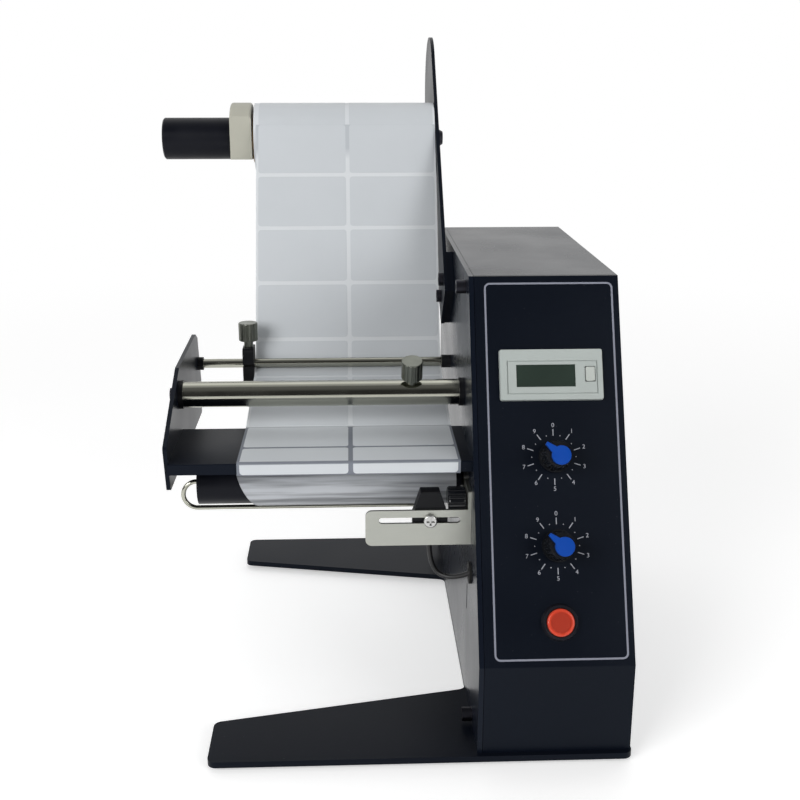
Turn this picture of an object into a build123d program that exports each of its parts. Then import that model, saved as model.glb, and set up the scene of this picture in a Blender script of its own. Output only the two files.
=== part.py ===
import os
from math import acos, asin, atan2, cos, hypot, pi, sin, sqrt, tan

from build123d import *

os.makedirs("parts", exist_ok=True)

# Sizes in millimetres. Places are measured from the inner face of the side plate (x),
# from the vertical front of the housing (y, backwards) and from the floor (z).

# Housing
housing_width = 70.2
housing_depth = 234.0
housing_top = 210.2
panel_setback = 76.25
panel_fold_height = 48.25
panel_thickness = 2.0
side_plate_thickness = 2.3
cover_thickness = 1.5
seam_gap = 0.2
wall_slot_y = 56.0
wall_slot_z = 56.0
wall_slot_length = 14.0
wall_slot_width = 2.6
vent_count = 7
vent_pitch = 13.0
vent_length = 44.0
vent_width = 3.0
vent_y = 105.0
vent_height = 62.0
panel_centre_shift = 0.55

# Base
foot_height = 2.0
base_thickness = 3.0
base_front_lip = 2.7
base_rear_lip = 9.0
base_side_lip = 0.8
leg_reach = 122.3
leg_tip_depth = 32.5
leg_root_depth = 58.0
leg_corner_radius = 4.0
foot_radius = 6.0
foot_inset = 10.5

# Panel fittings, placed down from the panel's top edge (s)
counter_s = 47.1
counter_bezel_width = 48.0
counter_bezel_height = 24.0
counter_bezel_proud = 2.0
counter_body_depth = 28.0
counter_wall = 1.6
counter_window_width = 27.4
counter_window_height = 10.4
counter_window_offset = -2.6
counter_window_drop = 0.6
counter_button_width = 4.2
counter_button_height = 6.6
counter_button_offset = 17.9
counter_line_width = 42.0
counter_line_height = 15.6
counter_line_offset = 0.4
counter_line_drop = 1.4
counter_line = 0.5
counter_button_travel = 0.8
length_dial_s = 85.1
speed_dial_s = 125.5
pot_body_radius = 8.2
pot_body_depth = 10.0
pot_bush_radius = 3.5
pot_shaft_radius = 2.0
pot_shaft_length = 7.0
knob_radius = 7.4
knob_height = 13.0
knob_flutes = 18
knob_gap = 1.2
knob_cap_radius = 4.3
knob_cap_reach = 7.6
knob_cap_shift = 1.0
knob_cap_height = 1.6
pointer_angle = 140.0
switch_s = 159.5
switch_bezel_radius = 8.5
switch_bezel_height = 2.2
switch_barrel_radius = 7.2
switch_barrel_depth = 24.0
switch_cap_radius = 6.2
switch_cap_proud = 3.4
switch_dish_radius = 4.6
switch_dish_depth = 0.4
switch_travel = 2.0

# Rear connector panel
inlet_edge = 24.2
inlet_z = 32.0
inlet_width = 27.0
inlet_height = 20.0
inlet_depth = 20.0
inlet_flange = 2.0
inlet_wall = 1.5
socket_depth = 14.0
socket_pin_length = 12.0
socket_pin_pitch = 7.0
fuse_rise = 26.0
fuse_radius = 6.0
fuse_depth = 22.0

# Inside the housing
motor_gap = 14.0
gearbox_radius = 18.5
gearbox_length = 21.0
motor_can_radius = 16.5
motor_end_gap = 5.4
pillar_radius = 3.0
pillar_circle_radius = 15.0
coupling_radius = 7.0
coupling_length = 10.0
board_front_gap = 34.5
board_height = 62.0
board_thickness = 1.6
board_gap = 6.0
board_rear_gap = 27.0
board_z = 128.0
standoff_radius = 2.5
standoff_inset = 4.0
relay_width = 24.0
relay_height = 12.0
heat_sink_width = 18.0
heat_sink_height = 15.0
board_part_depth = 9.0
transformer_width = 44.0
transformer_depth = 46.0
transformer_height = 38.0
transformer_gap = 7.0
coil_proud = 6.0
coil_side_inset = 7.0

# Roller unit
end_plate_x = -139.8
end_plate_thickness = 2.0
end_plate_corners = [(51.0, 115.0), (170.5, 116.0), (174.0, 134.0), (167.0, 160.0), (160.0, 163.5),
                     (96.0, 162.0), (46.0, 137.5)]
end_plate_corner_radius = 1.5
guide_bar_y = 93.0
guide_bar_z = 149.2
guide_bar_radius = 6.4
collar_length = 2.2
collar_rim = 0.6
rear_rod_y = 165.0
rear_rod_z = 145.7
rear_rod_radius = 2.5
rod_nut_length = 3.0
rod_bush_radius = 3.6
table_front_y = 45.0
table_rear_y = 97.0
table_z = 130.0
table_thickness = 1.5
table_lip = 5.2
table_flange = 6.0
bar_screw_x = -25.6
bar_screw_tilt = 20.0
thumb_head_radius = 5.2
thumb_head_height = 10.0
thumb_flutes = 16
thumb_neck_radius = 2.5
thumb_neck_length = 3.0
thread_depth = 4.0
paper_guide_width = 6.1
paper_guide_depth = 13.0
paper_guide_height = 19.0

# Label web and rolls
web_width = 103.0
web_right_x = -5.3
roll_overhang = 1.7
web_thickness = 0.35
web_clearance = 0.3
roll_radius = 20.2
core_radius = 14.0
roll_side_gap = 0.3
waste_radius = 12.2
waste_left_x = -99.9
waste_telescope = 11.0

# Spindle and its arm
spindle_reach = 98.0
spindle_z = 261.8
spindle_radius = 12.0
spindle_wall = 2.0
spindle_end_x = -163.8
spindle_plug_length = 14.0
end_cap_length = 6.0
stop_groove_width = 1.0
stop_groove_depth = 0.4
stop_groove_gap = 0.2
spindle_chamfer = 0.8
arm_x = -5.0
arm_thickness = 2.0
arm_foot_rear_gap = 86.0
arm_foot_z = 189.0
arm_foot_width = 32.5
arm_slope_run = 1.0
arm_slope_rise = 1.02
arm_top_radius = 33.0
arm_top_z = 319.5
arm_spacer_length = 25.0
arm_screw_inset = 8.0
clip_width = 12.5
clip_radius = 20.5
clip_floor = 11.0
clip_front = 15.5
clip_play = 0.75
bolt_radius = 3.0
bolt_head_radius = 5.8
bolt_head_height = 3.6

# Take-up
take_up_y = 76.0
take_up_z = 110.0
take_up_radius = 11.0
take_up_wall = 2.5
take_up_end_x = -130.0
take_up_gap = 3.0
take_up_stub_radius = 4.0
bearing_radius = 8.0
bearing_flange_radius = 11.0
bearing_flange = 1.6
clip_wire_radius = 1.15
clip_inner_leg = 60.0
clip_outer_leg_end = -14.0

# Label sensor
bracket_y = 44.5
bracket_left_x = -49.5
bracket_bottom = 88.4
bracket_height = 17.5
bracket_thickness = 1.5
bracket_flange_depth = 17.5
bracket_flange_top = 115.0
bracket_corner_radius = 3.0
slot_left_x = -43.2
slot_right_x = -5.0
slot_z = 100.9
slot_width = 3.0
sensor_x = -19.1
sensor_top_width = 8.9
sensor_base_width = 16.5
sensor_depth = 7.0
sensor_top = 114.3
sensor_base = 88.0
sensor_waist = 102.7
sensor_screw_radius = 3.2
sensor_screw_height = 1.9
sensor_screw_reach = 5.0
sensor_recess_width = 0.9
sensor_recess_length = 3.8
sensor_recess_depth = 1.2
bracket_knob_y = 54.5
bracket_knob_z = 106.0
bracket_knob_radius = 7.5
bracket_knob_length = 9.0
cable_radius = 1.2
grommet_radius = 4.0
grommet_bore = 2.4
grommet_y = 41.0
grommet_z = 75.5
cable_points = [(sensor_x, 51.5, sensor_base - 0.05), (sensor_x, 51.5, 73.4), (-8.6, 46.2, 69.2),
                (-0.2, grommet_y, grommet_z)]

# Shared fits
hole_gap = 0.15
running_gap = 0.06
touch_gap = 0.3
screw_radius = 2.0
screw_head_radius = 3.4
screw_head_height = 2.4
cap_head_radius = 3.3
cap_head_height = 4.8

# Derived places
base_top = foot_height + base_thickness
panel_centre_u = (housing_width + side_plate_thickness + seam_gap) / 2 + panel_centre_shift
inlet_x = housing_width - inlet_edge
fuse_z = inlet_z + fuse_rise
board_front_y = take_up_y + gearbox_radius + board_front_gap
board_width = housing_depth - board_rear_gap - board_front_y
board_y = board_front_y + board_width / 2
transformer_y = housing_depth - inlet_depth - transformer_gap - transformer_depth / 2 - coil_proud
panel_rise = housing_top - panel_fold_height
lean = atan2(panel_setback, panel_rise)
cover_left_x = side_plate_thickness + seam_gap
arm_foot_y = housing_depth - arm_foot_rear_gap
spindle_y = arm_foot_y + spindle_reach
arm_slope = hypot(arm_slope_run, arm_slope_rise)
arm_along = (arm_slope_run / arm_slope, arm_slope_rise / arm_slope)
arm_across = (arm_along[1], -arm_along[0])
arm_top_centre_z = arm_top_z - arm_top_radius
arm_reach = (arm_top_centre_z - arm_foot_z - arm_top_radius * arm_across[1]) / arm_along[1]
arm_top_centre_y = arm_foot_y + arm_reach * arm_along[0] + arm_top_radius * arm_across[0]
arm_right_x = arm_x + arm_thickness
web_left_x = web_right_x - web_width
roll_left_x = web_left_x - roll_overhang
spindle_right_x = arm_x

# The origin is under the middle of the whole machine
x_min = spindle_end_x
x_max = housing_width + base_side_lip
y_min = -base_front_lip
y_max = arm_top_centre_y + arm_top_radius
wall_x = -(x_min + x_max) / 2
front_y = -(y_min + y_max) / 2


def side(x):
    """Plane across the machine: its x runs backwards and its y runs up."""
    return Plane((wall_x + x, front_y, 0), x_dir=(0, 1, 0), z_dir=(1, 0, 0))


def level(z):
    return Plane((wall_x, front_y, z))


def facing(y):
    """Plane that faces the front: its x runs to the right and its y runs up."""
    return Plane((wall_x, front_y + y, 0), x_dir=(1, 0, 0), z_dir=(0, -1, 0))


def on_panel(out):
    """Plane of the sloping panel, raised by out: its y runs up the slope from the top edge."""
    origin = (wall_x, front_y + panel_setback - out * cos(lean), housing_top + out * sin(lean))
    return Plane(origin, x_dir=(1, 0, 0), z_dir=(0, -cos(lean), sin(lean)))


def save(builder, label):
    builder.part.label = label
    export_step(builder.part, f"parts/{label}.step")


def panel_line(inset):
    """Front outline of the housing, moved inwards by inset, from the base to the top."""
    return [(inset, base_top), (inset, panel_fold_height - inset * tan(lean / 2)),
            (panel_setback + inset / cos(lean), housing_top)]


def fluted_head(plane, radius, height, flutes, edge):
    """A round head with soft edges and shallow grooves along its rim, standing on the plane."""
    with BuildPart() as head:
        with BuildSketch(plane):
            Circle(radius)
        extrude(amount=height)
        fillet(head.edges().filter_by(GeomType.CIRCLE), edge)
        with BuildSketch(plane):
            with PolarLocations(radius, flutes):
                Circle(radius * 0.08)
        extrude(amount=height, mode=Mode.SUBTRACT)
    return head.part


# Base plate, one flat plate with two tapered legs
with BuildPart() as base_plate:
    leg_rear = housing_depth + base_rear_lip
    with BuildSketch(level(foot_height)):
        Polygon(
            (-leg_reach, -base_front_lip), (x_max, -base_front_lip), (x_max, leg_rear),
            (-leg_reach, leg_rear), (-leg_reach, leg_rear - leg_tip_depth), (0, leg_rear - leg_root_depth),
            (0, leg_root_depth - base_front_lip), (-leg_reach, leg_tip_depth - base_front_lip),
            align=None,
        )
    extrude(amount=base_thickness)
    fillet(base_plate.edges().filter_by(Axis.Z), leg_corner_radius)
save(base_plate, "base_plate")

with BuildPart() as rubber_feet:
    foot_left = -leg_reach + foot_inset
    foot_right = housing_width - foot_inset
    foot_front = foot_inset - base_front_lip
    foot_rear = leg_rear - foot_inset
    with BuildSketch(level(0)):
        with Locations((foot_left, foot_front), (foot_left, foot_rear), (foot_right, foot_front),
                       (foot_right, foot_rear)):
            Circle(foot_radius)
    extrude(amount=foot_height)
save(rubber_feet, "rubber_feet")

# Side plate that carries the roller unit, the take-up and the arm
screw_places = [(88.0, housing_top - 7.2), (25.0, base_top + 4.6), (housing_depth - 10, housing_top - 20.2),
                (housing_depth - 14, base_top + 9)]
arm_screw_places = [
    (arm_foot_y + arm_spacer_length / 2 * arm_along[0] + across * arm_across[0],
     arm_foot_z + arm_spacer_length / 2 * arm_along[1] + across * arm_across[1])
    for across in (arm_screw_inset, arm_foot_width - arm_screw_inset)
]
with BuildPart() as inner_side_plate:
    with BuildSketch(side(0)):
        Polygon(*panel_line(0), (housing_depth, housing_top), (housing_depth, base_top), align=None)
        with Locations((take_up_y, take_up_z)):
            Circle(bearing_radius, mode=Mode.SUBTRACT)
        with Locations((grommet_y, grommet_z)):
            Circle(grommet_radius, mode=Mode.SUBTRACT)
        with Locations((wall_slot_y, wall_slot_z)):
            SlotOverall(wall_slot_length, wall_slot_width, rotation=90, mode=Mode.SUBTRACT)
        with Locations(*screw_places, *arm_screw_places):
            Circle(screw_radius + hole_gap, mode=Mode.SUBTRACT)
        with Locations((guide_bar_y, guide_bar_z), (rear_rod_y, rear_rod_z)):
            Circle(1.5 + hole_gap, mode=Mode.SUBTRACT)
    extrude(amount=side_plate_thickness)
save(inner_side_plate, "inner_side_plate")

with BuildPart() as wall_screws:
    with BuildSketch(side(0)):
        with Locations(*screw_places):
            Circle(cap_head_radius)
            RegularPolygon(1.7, 6, mode=Mode.SUBTRACT)
    extrude(amount=-cap_head_height)
    with BuildSketch(side(-cap_head_height / 2)):
        with Locations(*screw_places):
            Circle(screw_radius)
    extrude(amount=cap_head_height / 2 + side_plate_thickness + 3)
save(wall_screws, "wall_screws")

# Front panel, folded from one sheet, with its cut-outs
with BuildPart() as front_panel:
    with BuildSketch(side(cover_left_x)):
        Polygon(*panel_line(0), *reversed(panel_line(panel_thickness)), align=None)
    extrude(amount=housing_width - cover_left_x)
    with BuildSketch(on_panel(1)):
        with Locations((panel_centre_u, -counter_s)):
            Rectangle(counter_bezel_width - 3, counter_bezel_height - 2)
        with Locations((panel_centre_u, -length_dial_s), (panel_centre_u, -speed_dial_s)):
            Circle(pot_bush_radius + hole_gap)
        with Locations((panel_centre_u, -switch_s)):
            Circle(switch_barrel_radius + hole_gap)
    extrude(amount=-panel_thickness - 2, mode=Mode.SUBTRACT)
save(front_panel, "front_panel")

# Cover: top, rear and outer side folded from one sheet
with BuildPart() as housing_cover:
    cover_inset = panel_thickness + 0.1
    with BuildSketch(side(cover_left_x)):
        Polygon(*panel_line(cover_inset), (housing_depth, housing_top), (housing_depth, base_top), align=None)
    extrude(amount=housing_width - cover_left_x)
    with BuildSketch(side(cover_left_x)):
        Polygon(
            (0, 0), (0, housing_top - cover_thickness),
            (housing_depth - cover_thickness, housing_top - cover_thickness),
            (housing_depth - cover_thickness, 0), align=None,
        )
    extrude(amount=housing_width - cover_thickness - cover_left_x, mode=Mode.SUBTRACT)
    with BuildSketch(side(housing_width - cover_thickness - 1)):
        with Locations((vent_y + vent_pitch * (vent_count - 1) / 2, vent_height)):
            with GridLocations(vent_pitch, 1, vent_count, 1):
                SlotOverall(vent_length, vent_width, rotation=90)
    extrude(amount=cover_thickness + 2, mode=Mode.SUBTRACT)
    with BuildSketch(facing(housing_depth - cover_thickness - 1)):
        with Locations((inlet_x, inlet_z)):
            Rectangle(inlet_width + 2 * hole_gap, inlet_height + 2 * hole_gap)
        with Locations((inlet_x, fuse_z)):
            Circle(fuse_radius + hole_gap)
    extrude(amount=-cover_thickness - 2, mode=Mode.SUBTRACT)
save(housing_cover, "housing_cover")

cover_screw_places = [(40.0, 16.0), (housing_depth - 14, 16.0), (housing_depth - 14, housing_top - 16),
                      (104.0, housing_top - 16)]
with BuildPart() as cover_screws:
    with BuildSketch(side(housing_width)):
        with Locations(*cover_screw_places):
            Circle(screw_head_radius)
            RegularPolygon(1.4, 6, mode=Mode.SUBTRACT)
    extrude(amount=base_side_lip)
save(cover_screws, "cover_screws")

# Counter: a bezel with a body behind it, a window and a reset key
window_v = -counter_s - counter_window_drop
with BuildPart() as counter_body:
    with BuildSketch(on_panel(0)):
        with Locations((panel_centre_u, -counter_s)):
            RectangleRounded(counter_bezel_width, counter_bezel_height, 1.2)
    extrude(amount=counter_bezel_proud, taper=8)
    with BuildSketch(on_panel(0)):
        with Locations((panel_centre_u, -counter_s)):
            Rectangle(counter_bezel_width - 3 - 2 * hole_gap, counter_bezel_height - 2 - 2 * hole_gap)
    extrude(amount=-counter_body_depth)
    with BuildSketch(on_panel(counter_bezel_proud)):
        with Locations((panel_centre_u + counter_window_offset, window_v)):
            Rectangle(counter_window_width, counter_window_height)
    extrude(amount=-counter_wall, mode=Mode.SUBTRACT)
    with BuildSketch(on_panel(counter_bezel_proud)):
        with Locations((panel_centre_u + counter_line_offset, -counter_s - counter_line_drop)):
            Rectangle(counter_line_width, counter_line_height)
            Rectangle(counter_line_width - 2 * counter_line, counter_line_height - 2 * counter_line,
                      mode=Mode.SUBTRACT)
    extrude(amount=-counter_line, mode=Mode.SUBTRACT)
    with BuildSketch(on_panel(counter_bezel_proud)):
        with Locations((panel_centre_u + counter_button_offset, -counter_s)):
            Rectangle(counter_button_width + 2 * touch_gap, counter_button_height + 2 * touch_gap)
    extrude(amount=-counter_wall - counter_button_travel - touch_gap, mode=Mode.SUBTRACT)
save(counter_body, "counter_body")

with BuildPart() as counter_window:
    with BuildSketch(on_panel(counter_bezel_proud - counter_wall)):
        with Locations((panel_centre_u + counter_window_offset, window_v)):
            Rectangle(counter_window_width, counter_window_height)
    extrude(amount=counter_wall - 0.5)
save(counter_window, "counter_window")

with BuildPart() as counter_reset_button:
    with BuildSketch(on_panel(counter_bezel_proud - counter_wall)):
        with Locations((panel_centre_u + counter_button_offset, -counter_s)):
            RectangleRounded(counter_button_width, counter_button_height, 0.8)
    extrude(amount=counter_wall + counter_button_travel)
    fillet(counter_reset_button.faces().sort_by(Axis.Y)[0].edges(), 0.3)
save(counter_reset_button, "counter_reset_button")


def make_pot(s, label):
    """Potentiometer behind the panel, with its bush through the panel and its fixing nut."""
    with BuildPart() as pot:
        with BuildSketch(on_panel(-panel_thickness)):
            with Locations((panel_centre_u, -s)):
                Circle(pot_body_radius)
        extrude(amount=-pot_body_depth)
        with BuildSketch(on_panel(-panel_thickness)):
            with Locations((panel_centre_u, -s)):
                Circle(pot_bush_radius)
        extrude(amount=panel_thickness + knob_gap - 0.2)
        with BuildSketch(on_panel(knob_gap)):
            with Locations((panel_centre_u, -s)):
                Circle(pot_shaft_radius + running_gap)
        extrude(amount=-pot_shaft_length - touch_gap, mode=Mode.SUBTRACT)
    save(pot, label)


def make_knob(s, label):
    """Fluted control knob with its shaft, turning on the panel's normal."""
    with BuildPart() as knob:
        with BuildSketch(on_panel(knob_gap)):
            with Locations((panel_centre_u, -s)):
                Circle(knob_radius)
        extrude(amount=2.4)
        with BuildSketch(on_panel(knob_gap + 2.4)):
            with Locations((panel_centre_u, -s)):
                Circle(knob_radius - 0.7)
                with PolarLocations(knob_radius - 0.6, knob_flutes):
                    Circle(0.55, mode=Mode.SUBTRACT)
        extrude(amount=knob_height - 2.4, taper=3)
        with BuildSketch(on_panel(knob_gap)):
            with Locations((panel_centre_u, -s)):
                Circle(pot_shaft_radius)
        extrude(amount=-pot_shaft_length)
    save(knob, label)


def make_knob_cap(s, label):
    """Pointer cap on the knob: a disc with a narrow pointer."""
    with BuildPart() as cap:
        with BuildSketch(on_panel(knob_gap + knob_height)):
            with Locations(Location((panel_centre_u, -s, 0), (0, 0, pointer_angle))):
                with Locations((-knob_cap_shift, 0)):
                    Circle(knob_cap_radius)
                Polygon((0, -2.2), (knob_cap_reach, -0.7), (knob_cap_reach, 0.7), (0, 2.2), align=None)
        extrude(amount=knob_cap_height)
    save(cap, label)


make_pot(length_dial_s, "length_pot")
make_pot(speed_dial_s, "speed_pot")
make_knob(length_dial_s, "length_knob")
make_knob(speed_dial_s, "speed_knob")
make_knob_cap(length_dial_s, "length_knob_cap")
make_knob_cap(speed_dial_s, "speed_knob_cap")

# Lit push button of the power supply
with BuildPart() as switch_body:
    with BuildSketch(on_panel(0)):
        with Locations((panel_centre_u, -switch_s)):
            Circle(switch_bezel_radius)
    extrude(amount=switch_bezel_height, taper=20)
    with BuildSketch(on_panel(0)):
        with Locations((panel_centre_u, -switch_s)):
            Circle(switch_barrel_radius)
    extrude(amount=-switch_barrel_depth)
    with BuildSketch(on_panel(switch_bezel_height)):
        with Locations((panel_centre_u, -switch_s)):
            Circle(switch_cap_radius + touch_gap)
    extrude(amount=-switch_bezel_height - switch_travel - 1, mode=Mode.SUBTRACT)
save(switch_body, "switch_body")

with BuildPart() as switch_button:
    with BuildSketch(on_panel(-0.7)):
        with Locations((panel_centre_u, -switch_s)):
            Circle(switch_cap_radius)
    extrude(amount=switch_cap_proud + 0.7)
    fillet(switch_button.edges().filter_by(GeomType.CIRCLE).sort_by(Axis.Y)[0], 0.9)
    with BuildSketch(on_panel(switch_cap_proud)):
        with Locations((panel_centre_u, -switch_s)):
            Circle(switch_dish_radius)
    extrude(amount=-switch_dish_depth, mode=Mode.SUBTRACT)
save(switch_button, "switch_button")

# Mains inlet and fuse holder in the rear
with BuildPart() as power_inlet:
    with BuildSketch(facing(housing_depth)):
        with Locations((inlet_x, inlet_z)):
            RectangleRounded(inlet_width + 2 * inlet_flange, inlet_height + 2 * inlet_flange, inlet_flange)
    extrude(amount=-inlet_flange)
    with BuildSketch(facing(housing_depth)):
        with Locations((inlet_x, inlet_z)):
            Rectangle(inlet_width, inlet_height)
    extrude(amount=inlet_depth)
    with BuildSketch(facing(housing_depth + inlet_flange)):
        with Locations((inlet_x, inlet_z)):
            Rectangle(inlet_width - 2 * inlet_wall, inlet_height - 4)
    extrude(amount=socket_depth + inlet_flange, mode=Mode.SUBTRACT)
    with BuildSketch(facing(housing_depth - socket_depth)):
        with Locations((inlet_x - socket_pin_pitch, inlet_z - 1), (inlet_x, inlet_z + 3),
                       (inlet_x + socket_pin_pitch, inlet_z - 1)):
            Rectangle(2, 4)
    extrude(amount=-socket_pin_length)
save(power_inlet, "power_inlet")

with BuildPart() as fuse_holder:
    with BuildSketch(facing(housing_depth)):
        with Locations((inlet_x, fuse_z)):
            Circle(fuse_radius + 1.5)
    extrude(amount=-3)
    with BuildSketch(facing(housing_depth)):
        with Locations((inlet_x, fuse_z)):
            Circle(fuse_radius)
    extrude(amount=fuse_depth)
    with BuildSketch(facing(housing_depth + 3)):
        with Locations((inlet_x, fuse_z)):
            SlotOverall(9, 1.6)
    extrude(amount=1, mode=Mode.SUBTRACT)
save(fuse_holder, "fuse_holder")

# Control board on standoffs, and the transformer on the base
standoff_places = [
    (board_y + i * (board_width / 2 - standoff_inset), board_z + j * (board_height / 2 - standoff_inset))
    for i in (-1, 1) for j in (-1, 1)
]
with BuildPart() as board_standoffs:
    with BuildSketch(side(side_plate_thickness)):
        with Locations(*standoff_places):
            Circle(standoff_radius)
    extrude(amount=board_gap)
save(board_standoffs, "board_standoffs")

with BuildPart() as control_board:
    with BuildSketch(side(side_plate_thickness + board_gap)):
        with Locations((board_y, board_z)):
            Rectangle(board_width, board_height)
    extrude(amount=board_thickness)
    board_face = side_plate_thickness + board_gap + board_thickness
    with BuildSketch(side(board_face)):
        with Locations((board_y - board_width / 4, board_z + board_height / 6)):
            Rectangle(relay_width, relay_height)
        with Locations((board_y + board_width / 5, board_z - board_height / 4.5),
                       (board_y + board_width / 5, board_z + board_height / 4.5)):
            Rectangle(heat_sink_width, heat_sink_height)
    extrude(amount=board_part_depth)
save(control_board, "control_board")

with BuildPart() as transformer:
    with BuildSketch(level(base_top)):
        with Locations((housing_width / 2, transformer_y)):
            Rectangle(transformer_width, transformer_depth)
    extrude(amount=transformer_height)
    with BuildSketch(level(base_top + coil_proud)):
        with Locations((housing_width / 2, transformer_y)):
            Rectangle(transformer_width - 2 * coil_side_inset, transformer_depth + 2 * coil_proud)
    extrude(amount=transformer_height - 2 * coil_proud)
save(transformer, "transformer")

# Gear motor in line with the take-up shaft
motor_x = side_plate_thickness + motor_gap
motor_can_length = housing_width - cover_thickness - motor_end_gap - motor_x - gearbox_length
with BuildPart() as motor_pillars:
    with BuildSketch(side(side_plate_thickness)):
        with Locations((take_up_y, take_up_z)):
            with PolarLocations(pillar_circle_radius, 3, start_angle=90):
                Circle(pillar_radius)
    extrude(amount=motor_gap)
save(motor_pillars, "motor_pillars")

with BuildPart() as gear_motor:
    with BuildSketch(side(motor_x)):
        with Locations((take_up_y, take_up_z)):
            Circle(gearbox_radius)
    extrude(amount=gearbox_length)
    with BuildSketch(side(motor_x + gearbox_length)):
        with Locations((take_up_y, take_up_z)):
            Circle(motor_can_radius)
    extrude(amount=motor_can_length)
    with BuildSketch(side(motor_x)):
        with Locations((take_up_y, take_up_z)):
            Circle(take_up_stub_radius + running_gap)
    extrude(amount=gearbox_length / 2, mode=Mode.SUBTRACT)
save(gear_motor, "gear_motor")

with BuildPart() as motor_output_shaft:
    with BuildSketch(side(motor_x - coupling_length / 2 + 0.3)):
        with Locations((take_up_y, take_up_z)):
            Circle(take_up_stub_radius)
    extrude(amount=coupling_length / 2 + gearbox_length / 2 - 0.6)
save(motor_output_shaft, "motor_output_shaft")

coupling_x = motor_x - coupling_length - 0.5
with BuildPart() as drive_coupling:
    with BuildSketch(side(coupling_x)):
        with Locations((take_up_y, take_up_z)):
            Circle(coupling_radius)
            Circle(take_up_stub_radius, mode=Mode.SUBTRACT)
    extrude(amount=coupling_length)
save(drive_coupling, "drive_coupling")

# Take-up: bearing in the side plate, slotted tube, wound liner and its wire clip
with BuildPart() as take_up_bearing:
    with BuildSketch(side(0)):
        with Locations((take_up_y, take_up_z)):
            Circle(bearing_radius)
    extrude(amount=side_plate_thickness)
    with BuildSketch(side(side_plate_thickness)):
        with Locations((take_up_y, take_up_z)):
            Circle(bearing_flange_radius - 0.5)
    extrude(amount=bearing_flange)
    with BuildSketch(side(0)):
        with Locations((take_up_y, take_up_z)):
            Circle(bearing_flange_radius)
    extrude(amount=-bearing_flange)
    with BuildSketch(side(-bearing_flange)):
        with Locations((take_up_y, take_up_z)):
            Circle(take_up_stub_radius + running_gap)
    extrude(amount=side_plate_thickness + 2 * bearing_flange, mode=Mode.SUBTRACT)
save(take_up_bearing, "take_up_bearing")

tube_length = -take_up_gap - take_up_end_x
with BuildPart() as take_up_shaft:
    with BuildSketch(side(take_up_end_x)):
        with Locations((take_up_y, take_up_z)):
            Circle(take_up_radius)
    extrude(amount=tube_length)
    with BuildSketch(side(take_up_end_x)):
        with Locations((take_up_y, take_up_z)):
            Circle(take_up_radius - take_up_wall)
    extrude(amount=tube_length - 6, mode=Mode.SUBTRACT)
    with BuildSketch(side(-take_up_gap)):
        with Locations((take_up_y, take_up_z)):
            Circle(take_up_stub_radius)
    extrude(amount=take_up_gap + coupling_x + coupling_length / 2)
save(take_up_shaft, "take_up_shaft")

with BuildPart() as waste_liner_roll:
    with BuildSketch(side(waste_left_x - waste_telescope)):
        with Locations((take_up_y, take_up_z)):
            Circle(waste_radius)
            Circle(take_up_radius, mode=Mode.SUBTRACT)
    extrude(amount=web_right_x - waste_left_x + waste_telescope)
    slant = atan2(waste_telescope, 2 * waste_radius)
    cut_centre = (wall_x + waste_left_x - waste_telescope / 2, front_y + take_up_y, take_up_z)
    split(bisect_by=Plane(cut_centre, z_dir=(cos(slant), -0.5 * sin(slant), sin(slant))), keep=Keep.TOP)
save(waste_liner_roll, "waste_liner_roll")

outer_leg_z = take_up_z - waste_radius - touch_gap - clip_wire_radius
clip_bend = (take_up_z - outer_leg_z) / 2
clip_bend_x = take_up_end_x - 1.2
with BuildPart() as hairpin_clip:
    clip_plane = facing(take_up_y)
    with BuildLine(clip_plane) as clip_path:
        Line((clip_outer_leg_end, outer_leg_z), (clip_bend_x, outer_leg_z))
        ThreePointArc((clip_bend_x, outer_leg_z), (clip_bend_x - clip_bend, outer_leg_z + clip_bend),
                      (clip_bend_x, take_up_z))
        Line((clip_bend_x, take_up_z), (clip_bend_x + clip_inner_leg, take_up_z))
    with BuildSketch(side(clip_outer_leg_end)):
        with Locations((take_up_y, outer_leg_z)):
            Circle(clip_wire_radius)
    sweep(path=clip_path.line)
save(hairpin_clip, "hairpin_clip")

# Roller unit: end plate, guide bar, rear rod and label table
with BuildPart() as end_plate:
    with BuildSketch(side(end_plate_x)):
        Polygon(*end_plate_corners, align=None)
        with Locations((guide_bar_y, guide_bar_z), (rear_rod_y, rear_rod_z)):
            Circle(1.5 + hole_gap, mode=Mode.SUBTRACT)
    extrude(amount=-end_plate_thickness)
    fillet(end_plate.edges().filter_by(Axis.X), end_plate_corner_radius)
save(end_plate, "end_plate")


def make_bar(y, z, radius, label, tap_x=None):
    """Round bar between the two plates, tapped at both ends for its screws."""
    with BuildPart() as bar:
        with BuildSketch(side(end_plate_x)):
            with Locations((y, z)):
                Circle(radius)
        extrude(amount=-end_plate_x)
        with BuildSketch(side(end_plate_x)):
            with Locations((y, z)):
                Circle(1.5 + hole_gap)
        extrude(amount=8, mode=Mode.SUBTRACT)
        with BuildSketch(side(0)):
            with Locations((y, z)):
                Circle(1.5 + hole_gap)
        extrude(amount=-8, mode=Mode.SUBTRACT)
        if tap_x is not None:
            with BuildSketch(screw_plane(0)):
                Circle(thumb_neck_radius + running_gap)
            extrude(amount=guide_bar_radius + 1, mode=Mode.SUBTRACT)
    save(bar, label)


def screw_plane(out):
    """Plane square to the thumb screw of the guide bar, at a distance out from the bar's axis."""
    tilt = bar_screw_tilt * pi / 180
    origin = (wall_x + bar_screw_x, front_y + guide_bar_y - out * sin(tilt), guide_bar_z + out * cos(tilt))
    return Plane(origin, x_dir=(1, 0, 0), z_dir=(0, -sin(tilt), cos(tilt)))


make_bar(guide_bar_y, guide_bar_z, guide_bar_radius, "guide_bar", tap_x=bar_screw_x)
make_bar(rear_rod_y, rear_rod_z, rear_rod_radius, "rear_rod")

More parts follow.
